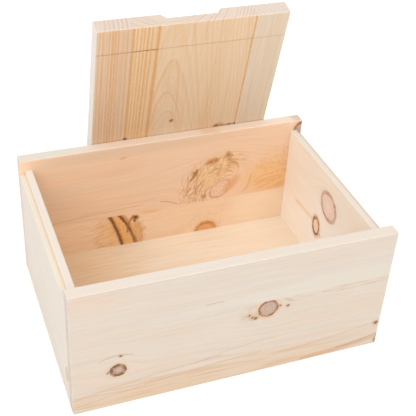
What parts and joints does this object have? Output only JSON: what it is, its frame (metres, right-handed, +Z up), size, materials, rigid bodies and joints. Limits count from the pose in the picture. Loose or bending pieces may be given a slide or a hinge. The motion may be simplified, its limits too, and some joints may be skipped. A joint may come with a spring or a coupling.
{
  "type": "wooden toy box",
  "caption": "Open-topped rectangular box of solid pine boards for toys, with a thick loose lid leaning behind it; the lid has a finger recess at one end.",
  "frame": {"origin": "under the middle of the box's footprint, on the surface it stands on", "axes": "+X along the box's long side, +Y from the front panel to the back panel and the leaning lid, +Z up"},
  "size_m": [0.47, 0.4149, 0.4325],
  "materials": {
    "panel_pine": "planed and sanded pine with knots, no varnish",
    "floor_pine": "planed pine, warm toned, no varnish",
    "lid_pine": "planed and sanded pine with marked growth rings, no varnish",
    "dowel_birch": "turned birch, unfinished"
  },
  "bodies": {
    "box": {"front_upper_board": "panel_pine", "front_lower_board": "panel_pine", "back_upper_board": "panel_pine", "back_lower_board": "panel_pine", "left_end_panel": "panel_pine", "right_end_panel": "panel_pine", "floor_front_board": "floor_pine", "floor_middle_board": "floor_pine", "floor_rear_board": "floor_pine", "corner_dowel_front_left_1": "dowel_birch", "corner_dowel_front_left_2": "dowel_birch", "corner_dowel_front_left_3": "dowel_birch", "corner_dowel_front_right_1": "dowel_birch", "corner_dowel_front_right_2": "dowel_birch", "corner_dowel_front_right_3": "dowel_birch", "corner_dowel_rear_left_1": "dowel_birch", "corner_dowel_rear_left_2": "dowel_birch", "corner_dowel_rear_left_3": "dowel_birch", "corner_dowel_rear_right_1": "dowel_birch", "corner_dowel_rear_right_2": "dowel_birch", "corner_dowel_rear_right_3": "dowel_birch", "floor_dowel_front_1": "dowel_birch", "floor_dowel_front_2": "dowel_birch", "floor_dowel_front_3": "dowel_birch", "floor_dowel_rear_1": "dowel_birch", "floor_dowel_rear_2": "dowel_birch", "floor_dowel_rear_3": "dowel_birch"},
    "lid": {"lid_left_board": "lid_pine", "lid_middle_board": "lid_pine", "lid_right_board": "lid_pine"}
  },
  "joints": [
    {"name": "lid_lift", "type": "slide", "parent": "box", "child": "lid", "axis": [0, -0.2436, 0.9699], "range_m": [0, 0.24]}
  ]
}
